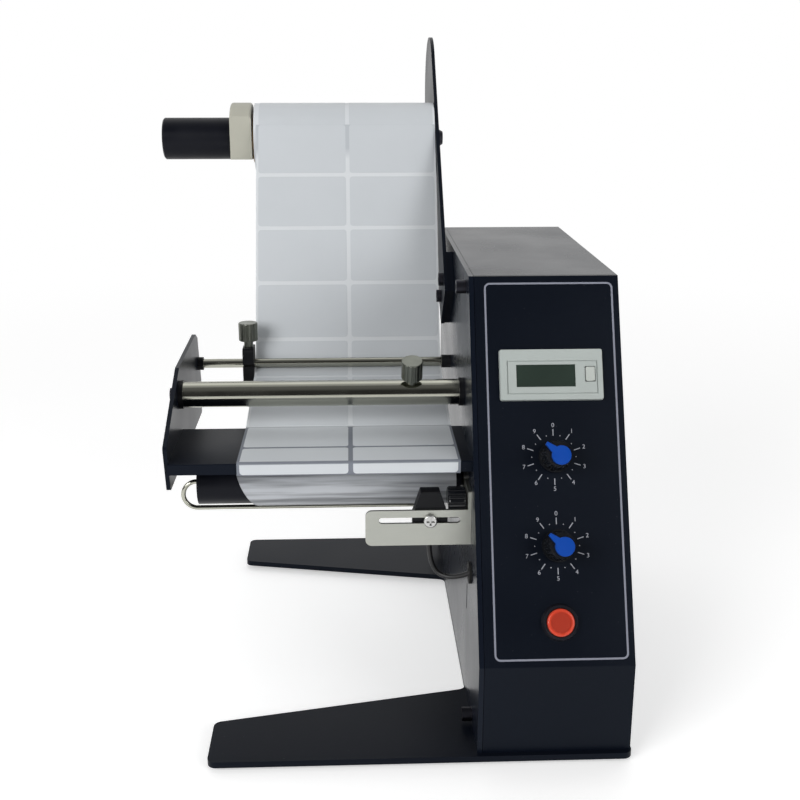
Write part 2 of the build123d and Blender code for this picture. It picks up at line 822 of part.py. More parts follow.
with BuildPart() as bar_collars:
    for start, length in ((end_plate_x, collar_length), (0, -collar_length)):
        with BuildSketch(side(start)):
            with Locations((guide_bar_y, guide_bar_z)):
                Circle(guide_bar_radius + collar_rim)
                Circle(guide_bar_radius, mode=Mode.SUBTRACT)
        extrude(amount=length)
save(bar_collars, "bar_collars")

with BuildPart() as rod_bushes:
    for start, length in ((end_plate_x, rod_nut_length), (0, web_right_x + touch_gap)):
        with BuildSketch(side(start)):
            with Locations((rear_rod_y, rear_rod_z)):
                Circle(rod_bush_radius)
                Circle(rear_rod_radius, mode=Mode.SUBTRACT)
        extrude(amount=length)
save(rod_bushes, "rod_bushes")

with BuildPart() as rod_screws:
    for y, z in ((guide_bar_y, guide_bar_z), (rear_rod_y, rear_rod_z)):
        for start, turn in ((end_plate_x - end_plate_thickness, -1), (side_plate_thickness, 1)):
            with BuildSketch(side(start)):
                with Locations((y, z)):
                    Circle(screw_head_radius)
                    RegularPolygon(1.3, 6, mode=Mode.SUBTRACT)
            extrude(amount=turn * screw_head_height)
            with BuildSketch(side(start + turn * screw_head_height / 3)):
                with Locations((y, z)):
                    Circle(1.5)
            extrude(amount=-turn * (screw_head_height / 3 + side_plate_thickness + 6))
save(rod_screws, "rod_screws")

with BuildPart() as bar_thumb_screw:
    with BuildSketch(screw_plane(guide_bar_radius - thread_depth)):
        Circle(thumb_neck_radius)
    extrude(amount=thread_depth + thumb_neck_length)
    add(fluted_head(screw_plane(guide_bar_radius + thumb_neck_length - 0.5), thumb_head_radius,
                    thumb_head_height, thumb_flutes, 0.5))
save(bar_thumb_screw, "bar_thumb_screw")

with BuildPart() as table_plate:
    with BuildSketch(side(end_plate_x)):
        Polygon(
            (table_rear_y, table_z), (table_front_y, table_z), (table_front_y, table_z - table_lip),
            (table_front_y + table_thickness, table_z - table_lip),
            (table_front_y + table_thickness, table_z - table_thickness),
            (table_rear_y, table_z - table_thickness), align=None,
        )
    extrude(amount=-end_plate_x)
    for start, turn in ((end_plate_x, 1), (0, -1)):
        with BuildSketch(side(start)):
            with Locations(((table_front_y + table_rear_y) / 2 + 14, table_z - table_flange / 2)):
                Rectangle(table_rear_y - table_front_y - 28, table_flange)
        extrude(amount=turn * table_thickness)
    fillet(table_plate.edges().filter_by(Axis.X).group_by(Axis.Y)[0].sort_by(Axis.Z)[-1], 0.6)
save(table_plate, "table_plate")

# Paper guide: a clamped block on the rear rod with its thumb screw
guide_right_x = web_left_x - touch_gap
guide_centre_x = guide_right_x - paper_guide_width / 2
with BuildPart() as paper_guide:
    with BuildSketch(side(guide_right_x - paper_guide_width)):
        with Locations((rear_rod_y, rear_rod_z)):
            RectangleRounded(paper_guide_depth, paper_guide_height, 2)
            Circle(rear_rod_radius + running_gap, mode=Mode.SUBTRACT)
        with Locations((rear_rod_y - paper_guide_depth / 2 + 1, rear_rod_z)):
            Rectangle(paper_guide_depth - 4, 1.2, mode=Mode.SUBTRACT)
    extrude(amount=paper_guide_width)
    with BuildSketch(level(rear_rod_z + rear_rod_radius)):
        with Locations((guide_centre_x, rear_rod_y)):
            Circle(1.5 + running_gap)
    extrude(amount=paper_guide_height, mode=Mode.SUBTRACT)
save(paper_guide, "paper_guide")

guide_top = rear_rod_z + paper_guide_height / 2
with BuildPart() as guide_thumb_screw:
    with BuildSketch(level(rear_rod_z + rear_rod_radius + touch_gap)):
        with Locations((guide_centre_x, rear_rod_y)):
            Circle(1.5)
    extrude(amount=guide_top - rear_rod_z - rear_rod_radius + 1)
    with BuildSketch(level(guide_top + 0.2)):
        with Locations((guide_centre_x, rear_rod_y)):
            Circle(thumb_neck_radius)
    extrude(amount=thumb_neck_length + 0.6)
    head_plane = Plane((wall_x + guide_centre_x, front_y + rear_rod_y, guide_top + thumb_neck_length + 0.5))
    add(fluted_head(head_plane, thumb_head_radius, thumb_head_height, thumb_flutes, 0.5))
save(guide_thumb_screw, "guide_thumb_screw")

# Spindle arm, its spacer and screws
foot_front = (arm_foot_y, arm_foot_z)
foot_back = (arm_foot_y + arm_foot_width * arm_across[0], arm_foot_z + arm_foot_width * arm_across[1])
with BuildPart() as spindle_arm:
    with BuildSketch(side(arm_x)):
        with Locations((arm_top_centre_y, arm_top_centre_z)):
            Circle(arm_top_radius)
        with Locations(foot_front, foot_back):
            Circle(0.5)
        make_hull()
        with Locations((spindle_y, spindle_z)):
            Circle(bolt_radius + hole_gap, mode=Mode.SUBTRACT)
        with Locations(*arm_screw_places):
            Circle(screw_radius + hole_gap, mode=Mode.SUBTRACT)
    extrude(amount=arm_thickness)
save(spindle_arm, "spindle_arm")

with BuildPart() as arm_spacer:
    with BuildSketch(side(arm_right_x)):
        reach = (arm_spacer_length * arm_along[0], arm_spacer_length * arm_along[1])
        Polygon(
            foot_front, (foot_front[0] + reach[0], foot_front[1] + reach[1]),
            (foot_back[0] + reach[0], foot_back[1] + reach[1]), foot_back, align=None,
        )
        with Locations(*arm_screw_places):
            Circle(screw_radius + hole_gap, mode=Mode.SUBTRACT)
    extrude(amount=-arm_right_x)
save(arm_spacer, "arm_spacer")

with BuildPart() as arm_screws:
    with BuildSketch(side(arm_x)):
        with Locations(*arm_screw_places):
            Circle(screw_head_radius)
            RegularPolygon(1.5, 6, mode=Mode.SUBTRACT)
    extrude(amount=-screw_head_height)
    with BuildSketch(side(arm_x - screw_head_height / 3)):
        with Locations(*arm_screw_places):
            Circle(screw_radius)
    extrude(amount=screw_head_height / 3 - arm_x + side_plate_thickness + 2)
save(arm_screws, "arm_screws")

# Spindle tube with a tapped plug, its bolt, the roll stop, the core and the roll
clip_right_x = roll_left_x - 2 * clip_play
clip_left_x = clip_right_x - clip_width
spindle_length = spindle_right_x - spindle_end_x
with BuildPart() as spindle_tube:
    with BuildSketch(side(spindle_end_x)):
        with Locations((spindle_y, spindle_z)):
            Circle(spindle_radius)
    extrude(amount=spindle_length)
    chamfer(spindle_tube.edges().filter_by(GeomType.CIRCLE).sort_by(Axis.X)[0], spindle_chamfer)
    with BuildSketch(side(clip_left_x - stop_groove_gap)):
        with Locations((spindle_y, spindle_z)):
            Circle(spindle_radius + 1)
            Circle(spindle_radius - stop_groove_depth, mode=Mode.SUBTRACT)
    extrude(amount=-stop_groove_width, mode=Mode.SUBTRACT)
    with BuildSketch(side(spindle_end_x)):
        with Locations((spindle_y, spindle_z)):
            Circle(spindle_radius - spindle_wall)
    extrude(amount=spindle_length - spindle_plug_length, mode=Mode.SUBTRACT)
    with BuildSketch(side(spindle_right_x)):
        with Locations((spindle_y, spindle_z)):
            Circle(bolt_radius + hole_gap)
    extrude(amount=-spindle_plug_length, mode=Mode.SUBTRACT)
save(spindle_tube, "spindle_tube")

with BuildPart() as spindle_end_cap:
    with BuildSketch(side(spindle_end_x)):
        with Locations((spindle_y, spindle_z)):
            Circle(spindle_radius - spindle_wall)
    extrude(amount=end_cap_length)
save(spindle_end_cap, "spindle_end_cap")

with BuildPart() as spindle_bolt:
    with BuildSketch(side(arm_right_x)):
        with Locations((spindle_y, spindle_z)):
            Circle(bolt_head_radius)
    extrude(amount=bolt_head_height, taper=30)
    with BuildSketch(side(arm_right_x)):
        with Locations((spindle_y, spindle_z)):
            Circle(bolt_radius)
    extrude(amount=-arm_thickness - spindle_plug_length + 2)
    with BuildSketch(side(arm_right_x + bolt_head_height)):
        with Locations((spindle_y, spindle_z)):
            RegularPolygon(2.2, 6)
    extrude(amount=-2, mode=Mode.SUBTRACT)
save(spindle_bolt, "spindle_bolt")

with BuildPart() as spindle_clip:
    with BuildSketch(side(clip_left_x)):
        with Locations((spindle_y, spindle_z)):
            Circle(clip_radius)
            Circle(spindle_radius + running_gap, mode=Mode.SUBTRACT)
        with Locations((spindle_y, spindle_z - clip_floor - clip_radius / 2)):
            Rectangle(3 * clip_radius, clip_radius, mode=Mode.SUBTRACT)
        with Locations((spindle_y - clip_front - clip_radius / 2, spindle_z)):
            Rectangle(clip_radius, 3 * clip_radius, mode=Mode.SUBTRACT)
    extrude(amount=clip_width)
    clip_rims = spindle_clip.edges().filter_by(GeomType.CIRCLE)
    fillet(clip_rims.filter_by(lambda rim: rim.radius > clip_radius - 1), 1.6)
save(spindle_clip, "spindle_clip")

core_left_x = clip_right_x + roll_side_gap
with BuildPart() as roll_core:
    with BuildSketch(side(core_left_x)):
        with Locations((spindle_y, spindle_z)):
            Circle(core_radius)
            Circle(spindle_radius + running_gap, mode=Mode.SUBTRACT)
    extrude(amount=arm_x - roll_side_gap - core_left_x)
save(roll_core, "roll_core")

with BuildPart() as label_roll:
    with BuildSketch(side(roll_left_x)):
        with Locations((spindle_y, spindle_z)):
            Circle(roll_radius)
            Circle(core_radius, mode=Mode.SUBTRACT)
    extrude(amount=web_width + roll_overhang)
save(label_roll, "label_roll")

# Label web: from the roll under the rear rod, over the table and round its front edge
web_skin = web_clearance + web_thickness / 2
roll_reach = roll_radius + web_skin
rod_reach = rear_rod_radius + web_skin
span = hypot(rear_rod_y - spindle_y, rear_rod_z - spindle_z)
heading = atan2(rear_rod_z - spindle_z, rear_rod_y - spindle_y) - acos((roll_reach + rod_reach) / span)
leave_roll = (spindle_y + roll_reach * cos(heading), spindle_z + roll_reach * sin(heading))
table_run_z = table_z + web_skin
slope = (atan2(rear_rod_z - table_run_z, rear_rod_y - table_rear_y)
         - asin(rod_reach / hypot(rear_rod_y - table_rear_y, rear_rod_z - table_run_z)))
behind = (-cos(heading), -sin(heading))
below = (sin(slope), -cos(slope))
turn = rod_reach / (1 + behind[0] * below[0] + behind[1] * below[1])
round_rod = (rear_rod_y + turn * (behind[0] + below[0]), rear_rod_z + turn * (behind[1] + below[1]))
front_edge_y = table_front_y - web_skin
below_lip_z = table_z - table_lip - web_skin
wound_reach = waste_radius + web_skin
clip_sweep = take_up_z - outer_leg_z + clip_wire_radius + web_skin
tail_span = hypot(take_up_y - front_edge_y, take_up_z - below_lip_z)
tail_heading = (atan2(take_up_z - below_lip_z, take_up_y - front_edge_y) + asin(wound_reach / tail_span))
tail_length = sqrt(tail_span ** 2 - wound_reach ** 2) - sqrt(clip_sweep ** 2 - wound_reach ** 2)
web_end = (front_edge_y + tail_length * cos(tail_heading), below_lip_z + tail_length * sin(tail_heading))
with BuildPart() as label_web:
    with BuildSketch(side(web_left_x)):
        with BuildLine() as web_path:
            FilletPolyline(
                leave_roll, round_rod, (table_rear_y, table_run_z), (front_edge_y, table_run_z),
                (front_edge_y, below_lip_z), web_end,
                radius=[rod_reach, 12, 0.8, 0.6],
            )
        trace(lines=web_path.line, line_width=web_thickness)
    extrude(amount=web_width)
save(label_web, "label_web")

# Label sensor on its slotted bracket
bracket_middle_z = bracket_bottom + bracket_height / 2
with BuildPart() as sensor_bracket:
    with BuildSketch(facing(bracket_y + bracket_thickness)):
        with Locations((bracket_left_x / 2, bracket_middle_z)):
            Rectangle(-bracket_left_x, bracket_height)
    extrude(amount=bracket_thickness)
    fillet(sensor_bracket.edges().filter_by(Axis.Y).group_by(Axis.X)[0], bracket_corner_radius)
    with BuildSketch(facing(bracket_y - 1)):
        with Locations(((slot_left_x + slot_right_x) / 2, slot_z)):
            SlotOverall(slot_right_x - slot_left_x, slot_width)
    extrude(amount=-bracket_thickness - 2, mode=Mode.SUBTRACT)
    with BuildSketch(side(0)):
        with Locations((bracket_y + bracket_flange_depth / 2, (bracket_bottom + bracket_flange_top) / 2)):
            RectangleRounded(bracket_flange_depth, bracket_flange_top - bracket_bottom, 0.6)
            with Locations((bracket_knob_y - bracket_y - bracket_flange_depth / 2,
                            bracket_knob_z - (bracket_bottom + bracket_flange_top) / 2)):
                Circle(2 + hole_gap, mode=Mode.SUBTRACT)
    extrude(amount=-bracket_thickness)
save(sensor_bracket, "sensor_bracket")

sensor_front_y = bracket_y + bracket_thickness
with BuildPart() as sensor_block:
    half_top = sensor_top_width / 2
    half_base = sensor_base_width / 2
    with BuildSketch(facing(sensor_front_y + sensor_depth)):
        Polygon(
            (sensor_x - half_base, sensor_base), (sensor_x + half_base, sensor_base),
            (sensor_x + half_base, sensor_waist), (sensor_x + half_top, sensor_top),
            (sensor_x - half_top, sensor_top), (sensor_x - half_base, sensor_waist), align=None,
        )
    extrude(amount=sensor_depth - 0.1)
    fillet(sensor_block.edges().filter_by(Axis.Y), 0.6)
    with BuildSketch(facing(sensor_front_y)):
        with Locations((sensor_x, slot_z)):
            Circle(1.3 + hole_gap)
    extrude(amount=-sensor_screw_reach - touch_gap, mode=Mode.SUBTRACT)
save(sensor_block, "sensor_block")

with BuildPart() as sensor_screw:
    with BuildSketch(facing(bracket_y - 0.1)):
        with Locations((sensor_x, slot_z)):
            Circle(sensor_screw_radius)
    extrude(amount=sensor_screw_height)
    fillet(sensor_screw.edges().filter_by(GeomType.CIRCLE).sort_by(Axis.Y)[0], 0.8)
    with BuildSketch(facing(bracket_y - 0.1 - sensor_screw_height)):
        with Locations((sensor_x, slot_z)):
            Rectangle(sensor_recess_length, sensor_recess_width)
            Rectangle(sensor_recess_width, sensor_recess_length)
    extrude(amount=-sensor_recess_depth, mode=Mode.SUBTRACT)
    with BuildSketch(facing(bracket_y - 0.1)):
        with Locations((sensor_x, slot_z)):
            Circle(1.3)
    extrude(amount=-bracket_thickness - sensor_screw_reach)
save(sensor_screw, "sensor_screw")

with BuildPart() as bracket_knob:
    knob_end_x = wall_x - bracket_thickness - bracket_knob_length
    knob_place = (knob_end_x, front_y + bracket_knob_y, bracket_knob_z)
    knob_plane = Plane(knob_place, x_dir=(0, 1, 0), z_dir=(1, 0, 0))
    add(fluted_head(knob_plane, bracket_knob_radius, bracket_knob_length - touch_gap, 22, 1.2))
    with BuildSketch(side(-bracket_thickness - 1)):
        with Locations((bracket_knob_y, bracket_knob_z)):
            Circle(2)
    extrude(amount=bracket_thickness + 1)
save(bracket_knob, "bracket_knob")

# Sensor cable, free between the block and its grommet
with BuildPart() as cable_grommet:
    with BuildSketch(side(0)):
        with Locations((grommet_y, grommet_z)):
            Circle(grommet_radius)
    extrude(amount=side_plate_thickness)
    with BuildSketch(side(0)):
        with Locations((grommet_y, grommet_z)):
            Circle(grommet_radius + 1.2)
    extrude(amount=-1.2)
    with BuildSketch(side(-1.2)):
        with Locations((grommet_y, grommet_z)):
            Circle(grommet_bore)
    extrude(amount=side_plate_thickness + 1.2, mode=Mode.SUBTRACT)
save(cable_grommet, "cable_grommet")

route = [Vector(wall_x + x, front_y + y, z) for x, y, z in cable_points]
runs = [b - a for a, b in zip(route, route[1:])]
radii = []
for before, after in zip(runs, runs[1:]):
    half_turn = before.get_angle(after) / 2 * pi / 180
    radii.append(0.45 * min(before.length, after.length) / tan(half_turn))
with BuildPart() as sensor_cable:
    with BuildLine() as cable_path:
        FilletPolyline(*route, radius=radii)
    with BuildSketch(Plane(route[0], z_dir=runs[0])):
        Circle(cable_radius)
    sweep(path=cable_path.line)
save(sensor_cable, "sensor_cable")
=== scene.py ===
import math

import bmesh
import bpy
from mathutils import Matrix, Vector


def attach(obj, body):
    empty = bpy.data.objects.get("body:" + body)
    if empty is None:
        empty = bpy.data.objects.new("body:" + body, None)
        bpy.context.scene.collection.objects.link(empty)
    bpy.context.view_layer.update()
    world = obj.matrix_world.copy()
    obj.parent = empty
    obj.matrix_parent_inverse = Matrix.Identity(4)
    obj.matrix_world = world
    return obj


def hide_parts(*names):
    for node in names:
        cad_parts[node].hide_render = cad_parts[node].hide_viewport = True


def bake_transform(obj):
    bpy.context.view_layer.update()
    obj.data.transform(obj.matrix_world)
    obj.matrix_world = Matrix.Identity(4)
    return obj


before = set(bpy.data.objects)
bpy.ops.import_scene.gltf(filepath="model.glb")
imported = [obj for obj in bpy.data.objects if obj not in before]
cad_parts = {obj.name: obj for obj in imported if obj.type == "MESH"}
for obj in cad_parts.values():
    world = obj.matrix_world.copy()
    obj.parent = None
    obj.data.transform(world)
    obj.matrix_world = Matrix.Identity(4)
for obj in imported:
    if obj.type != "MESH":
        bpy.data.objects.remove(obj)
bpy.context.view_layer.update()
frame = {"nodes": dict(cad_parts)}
nodes = frame["nodes"]

# Places of the wall frame (mm) in the row frame (m)
WALL_X, FRONT_Y = 46.4, -160.051


def place(x, y, z):
    return Vector(((WALL_X + x) / 1000, (FRONT_Y + y) / 1000, z / 1000))


# Sizes of the solids that the scene's own pieces and finishes follow (mm): axes as (Y, Z), radii, heights, depths
SPINDLE, ROD, TAKE_UP = Vector((246.0, 261.8)), Vector((165.0, 145.7)), Vector((76.0, 110.0))
ROLL_R, ROD_R = 20.2, 2.5
TABLE_TOP, TABLE_FRONT, TABLE_REAR, TABLE_LIP = 130.0, 45.0, 97.0, 5.2
WEB_CLEARANCE, WEB_THICKNESS, LIP_BEND_R, REAR_BEND_R = 0.3, 0.35, 0.8, 12
PANEL_TOP_Y, PANEL_TOP_Z, PANEL_LOW_Z = 76.25, 210.2, 48.25

# The sloping panel: u runs across it from the wall, s down it from its top edge
LEAN = math.atan2(PANEL_TOP_Y, PANEL_TOP_Z - PANEL_LOW_Z)
PANEL_TOP = place(0, PANEL_TOP_Y, PANEL_TOP_Z)
ACROSS = Vector((1, 0, 0))
UP_PANEL = Vector((0, math.sin(LEAN), math.cos(LEAN)))
OUT_PANEL = Vector((0, -math.cos(LEAN), math.sin(LEAN)))
CONTROLS_U, DIALS_S, BUTTON_S, BUTTON_DISH_R = 36.9, (85.1, 125.5), 159.5, 4.6


def on_panel(u, s, out=0.0):
    return PANEL_TOP + (ACROSS * u - UP_PANEL * s + OUT_PANEL * out) / 1000


class Nodes:
    """The node shorthands that every material and the world use."""

    def __init__(self, tree):
        self.tree = tree

    def link(self, a, b):
        self.tree.links.new(a, b)

    def new(self, kind, **values):
        node = self.tree.nodes.new(kind)
        for key, value in values.items():
            setattr(node, key, value)
        return node

    def split(self, vector):
        """The x, y and z outputs of a vector."""
        node = self.new("ShaderNodeSeparateXYZ")
        self.link(vector, node.inputs[0])
        return node.outputs

    def length(self, vector):
        node = self.new("ShaderNodeVectorMath", operation="LENGTH")
        self.link(vector, node.inputs[0])
        return node.outputs["Value"]

    def remap(self, value, low, high, to_low, to_high, smooth=False):
        node = self.new("ShaderNodeMapRange", interpolation_type="SMOOTHSTEP" if smooth else "LINEAR")
        node.inputs["From Min"].default_value = low
        node.inputs["From Max"].default_value = high
        node.inputs["To Min"].default_value = to_low
        node.inputs["To Max"].default_value = to_high
        self.link(value, node.inputs["Value"])
        return node.outputs["Result"]

    def math(self, operation, a, b=None):
        node = self.new("ShaderNodeMath", operation=operation)
        for socket, value in zip(node.inputs, (a, b)):
            if value is None:
                continue
            if isinstance(value, (int, float)):
                socket.default_value = value
            else:
                self.link(value, socket)
        return node.outputs[0]


class Finish(Nodes):
    """A procedural material: its shader, its object coordinates and the textures that finishes share."""

    def __init__(self, name):
        self.mat = bpy.data.materials.new(name)
        self.mat.use_nodes = True
        super().__init__(self.mat.node_tree)
        self.shader = self.tree.nodes["Principled BSDF"]
        self.coord = self.new("ShaderNodeTexCoord").outputs["Object"]

    def noise(self, scale, detail=3.0, rough=0.5, stretch=None):
        source = self.coord
        if stretch:
            mapping = self.new("ShaderNodeMapping")
            mapping.inputs["Scale"].default_value = stretch
            self.link(source, mapping.inputs["Vector"])
            source = mapping.outputs["Vector"]
        node = self.new("ShaderNodeTexNoise")
        node.inputs["Scale"].default_value = scale
        node.inputs["Detail"].default_value = detail
        node.inputs["Roughness"].default_value = rough
        self.link(source, node.inputs["Vector"])
        return node.outputs["Fac"]

    def mix(self, factor, a, b):
        node = self.new("ShaderNodeMix", data_type="RGBA")
        for socket, value in ((node.inputs[6], a), (node.inputs[7], b)):
            if isinstance(value, (tuple, list)):
                socket.default_value = (*value, 1)
            else:
                self.link(value, socket)
        self.link(factor, node.inputs[0])
        return node.outputs[2]

    def from_axis(self, point, axis):
        """Distance from the axis of that direction through a point."""
        value = self.coord
        for operation, other in (("SUBTRACT", point), ("CROSS_PRODUCT", axis)):
            node = self.new("ShaderNodeVectorMath", operation=operation)
            self.link(value, node.inputs[0])
            node.inputs[1].default_value = other
            value = node.outputs["Vector"]
        return self.length(value)

    def bump(self, height, strength, distance, before=None):
        node = self.new("ShaderNodeBump")
        node.inputs["Strength"].default_value = strength
        node.inputs["Distance"].default_value = distance
        self.link(height, node.inputs["Height"])
        if before is not None:
            self.link(before, node.inputs["Normal"])
        return node.outputs["Normal"]

    def finish(self, color=None, rough=None, normal=None, **sockets):
        for name, value in (("Base Color", color), ("Roughness", rough)):
            if value is None:
                continue
            if isinstance(value, (int, float)):
                self.shader.inputs[name].default_value = value
            elif isinstance(value, (tuple, list)):
                self.shader.inputs[name].default_value = (*value, 1)
            else:
                self.link(value, self.shader.inputs[name])
        if normal is not None:
            self.link(normal, self.shader.inputs["Normal"])
        for name, value in sockets.items():
            self.shader.inputs[name.replace("_", " ")].default_value = value
        return self.mat


def srgb(text):
    out = []
    for i in (0, 2, 4):
        c = int(text[i:i + 2], 16) / 255
        out.append(c / 12.92 if c <= 0.04045 else ((c + 0.055) / 1.055) ** 2.4)
    return tuple(out)


# The rings that wound paper shows on its ends stand this far apart (m)
TURN_PITCH = 0.0006


def powder_coat(name, color, lift, rough, specular):
    """Sprayed and baked powder coat: orange peel, slight cloudiness and a few dust specks."""
    n = Finish(name)
    cloud = n.noise(18, 4)
    specks = n.remap(n.noise(900, 2, 0.6), 0.74, 0.78, 0, 1)
    tint = n.mix(cloud, color, lift)
    tint = n.mix(n.math("MULTIPLY", specks, 0.10), tint, (0.35, 0.36, 0.38))
    peel = n.bump(n.noise(520, 3, 0.6), 0.10, 0.0002)
    fine = n.bump(n.noise(2600, 2), 0.05, 0.00008, peel)
    return n.finish(tint, n.remap(cloud, 0.3, 0.7, rough - 0.04, rough + 0.05), fine,
                    Specular_IOR_Level=specular, Specular_Tint=(0.82, 0.91, 1.0, 1))


def plated(name, color, rough):
    """Ground and plated steel: fine grinding lines round the part and faint smears."""
    n = Finish(name)
    lines = n.noise(160, 2, 0.6, (40, 1, 1))
    smear = n.noise(45, 4, 0.55)
    return n.finish(n.mix(smear, color, tuple(c * 0.86 for c in color)),
                    n.remap(smear, 0.3, 0.75, rough, rough + 0.1),
                    n.bump(lines, 0.06, 0.0001), Metallic=1.0)


def satin_metal(name, color, rough, stretch=(1, 30, 30)):
    """Brushed, blasted or knurled metal: a grain drawn out by the stretch, and faint blotches."""
    n = Finish(name)
    grain = n.noise(220, 3, 0.6, stretch)
    blotch = n.noise(30, 4)
    return n.finish(n.mix(blotch, color, tuple(c * 0.88 for c in color)),
                    n.remap(grain, 0.3, 0.7, rough - 0.06, rough + 0.1),
                    n.bump(grain, 0.12, 0.0001), Metallic=1.0)


def moulded(name, color, rough, grain=1400, depth=0.00006, specular=0.5):
    """Moulded plastic: fine spark-eroded grain with slightly polished, slightly dusty patches."""
    n = Finish(name)
    patch = n.noise(60, 3)
    lift = tuple(min(1, c * 1.12 + 0.004) for c in color)
    return n.finish(n.mix(patch, color, lift), n.remap(patch, 0.3, 0.7, rough - 0.06, rough + 0.06),
                    n.bump(n.noise(grain, 2), 0.25, depth), Specular_IOR_Level=specular)


def cardboard():
    """Brown card of the roll's core: cloudy, with coarse fibres."""
    n = Finish("card")
    cloud = n.noise(26, 5, 0.6)
    fibres = n.noise(260, 4, 0.65, (1, 1.6, 1.6))
    return n.finish(n.mix(cloud, srgb("a88c68"), srgb("8f7452")), n.remap(cloud, 0.3, 0.7, 0.75, 0.85),
                    n.bump(fibres, 0.10, 0.00006))


def wound(name, color, shade, axis, crease_shade=0.0):
    """Turns of paper on a roll: rings on the ends, the outer turn round the side, with its creases and painted shade
    in them.
    """
    n = Finish(name)
    radius = n.from_axis(place(0, *axis), ACROSS)
    wobble = n.math("MULTIPLY", n.noise(120, 2), 0.0003)
    turns = n.math("SINE", n.math("MULTIPLY", n.math("ADD", radius, wobble), 2 * math.pi / TURN_PITCH))
    normal_x = n.split(n.new("ShaderNodeNewGeometry").outputs["Normal"])[0]
    end = n.remap(n.math("ABSOLUTE", normal_x), 0.6, 0.9, 0, 1)
    rings = n.math("MULTIPLY", n.remap(turns, -1, 1, 0, 1), end)
    cloud = n.noise(30, 4)
    outer = n.mix(cloud, color, shade)
    normal = n.bump(rings, 0.35, 0.0002)
    if crease_shade:
        folds = n.noise(240, 4, 0.6, (0.04, 1, 1))
        # painted shade: the outer turn darkened along its creases
        outer = n.mix(n.remap(folds, 0.42, 0.66, 0, crease_shade), outer, tuple(c * 0.3 for c in shade))
        normal = n.bump(folds, 0.5, 0.0006, normal)
    return n.finish(n.mix(rings, outer, tuple(c * 0.55 for c in shade)), 0.55, normal)


# Finishes
side_coat = powder_coat("side_coat", srgb("0c111a"), srgb("121722"), 0.26, 0.14)
panel_coat = powder_coat("panel_coat", srgb("080c15"), srgb("0c111b"), 0.36, 0.12)
frame_coat = powder_coat("frame_coat", srgb("0c0f17"), srgb("12161f"), 0.34, 0.08)
table_coat = powder_coat("table_coat", srgb("0d1119"), srgb("131721"), 0.3, 0.08)
chrome = plated("chrome", (0.43, 0.43, 0.37), 0.09)
bright = plated("bright", (0.66, 0.65, 0.61), 0.16)
knurled_steel = satin_metal("knurled_steel", (0.22, 0.23, 0.20), 0.34, (1, 1, 6))
black_steel = satin_metal("black_steel", (0.04, 0.04, 0.05), 0.4)
zinc = satin_metal("zinc", (0.60, 0.60, 0.59), 0.32)
nickel = satin_metal("nickel", (0.46, 0.47, 0.43), 0.36, (1, 20, 20))
alloy = satin_metal("alloy", (0.72, 0.73, 0.74), 0.36)
brass = satin_metal("brass", (0.76, 0.60, 0.30), 0.3)
spindle_black = moulded("spindle_black", srgb("0c0e16"), 0.36, 700, 0.00004, 0.12)
black_plastic = moulded("black_plastic", srgb("0f1013"), 0.42, specular=0.15)
knob_plastic = moulded("knob_plastic", srgb("0e1015"), 0.2, 1400, 0.00002, 0.6)
ring_plastic = moulded("ring_plastic", srgb("18181e"), 0.2, 900, 0.00003)
bezel_grey = moulded("bezel_grey", srgb("a6adaa"), 0.42, 1100, specular=0.3)
key_white = moulded("key_white", srgb("b2b7b2"), 0.38, specular=0.3)
cap_blue = moulded("cap_blue", srgb("023f99"), 0.32, 900, 0.00003, 0.2)
ivory = moulded("ivory", srgb("afaea2"), 0.45, specular=0.3)
rubber = moulded("rubber", srgb("161616"), 0.75, 1600, 0.0001, 0.3)
cable_jacket = moulded("cable_jacket", srgb("121214"), 0.45, 900, 0.00005)
board = moulded("board", srgb("1b5b33"), 0.35)
iron = satin_metal("iron", (0.24, 0.24, 0.25), 0.5)
ink = moulded("ink", srgb("9b9ea7"), 0.5, 2000, 0.00002)
border_ink = moulded("border_ink", srgb("7d808d"), 0.5, 2000, 0.00002)
roll_paper = wound("roll_paper", srgb("dfe2e5"), srgb("d4d8dc"), SPINDLE)
# the waste liner's creases carry painted shade
waste_paper = wound("waste_paper", srgb("cdd0d4"), srgb("b4b8be"), TAKE_UP, crease_shade=0.85)


def label_stock():
    """White labels, with a painted shade line along the crease where they are bent over the table's edge."""
    n = Finish("label_white")
    y, z = n.split(n.coord)[1:]
    edge = place(0, TABLE_FRONT - 0.1, TABLE_TOP + 0.4)
    off_edge = n.math("MAXIMUM", n.math("ABSOLUTE", n.math("SUBTRACT", y, edge.y)),
                      n.math("ABSOLUTE", n.math("SUBTRACT", z, edge.z)))
    # painted shade: a dark line along the crease where the labels bend over the table's front edge
    painted_crease_shade = n.remap(off_edge, 0.0005, 0.0009, 1, 0)
    cloud = n.noise(26, 5, 0.6)
    stock = n.mix(cloud, srgb("cfd3d7"), srgb("c6cbcf"))
    fibres = n.noise(420, 4, 0.65, (1, 1.6, 1.6))
    return n.finish(n.mix(painted_crease_shade, stock, srgb("6f747d")), n.remap(cloud, 0.3, 0.7, 0.4, 0.5),
                    n.bump(fibres, 0.10, 0.00006), Coat_Weight=0.1, Coat_Roughness=0.3)


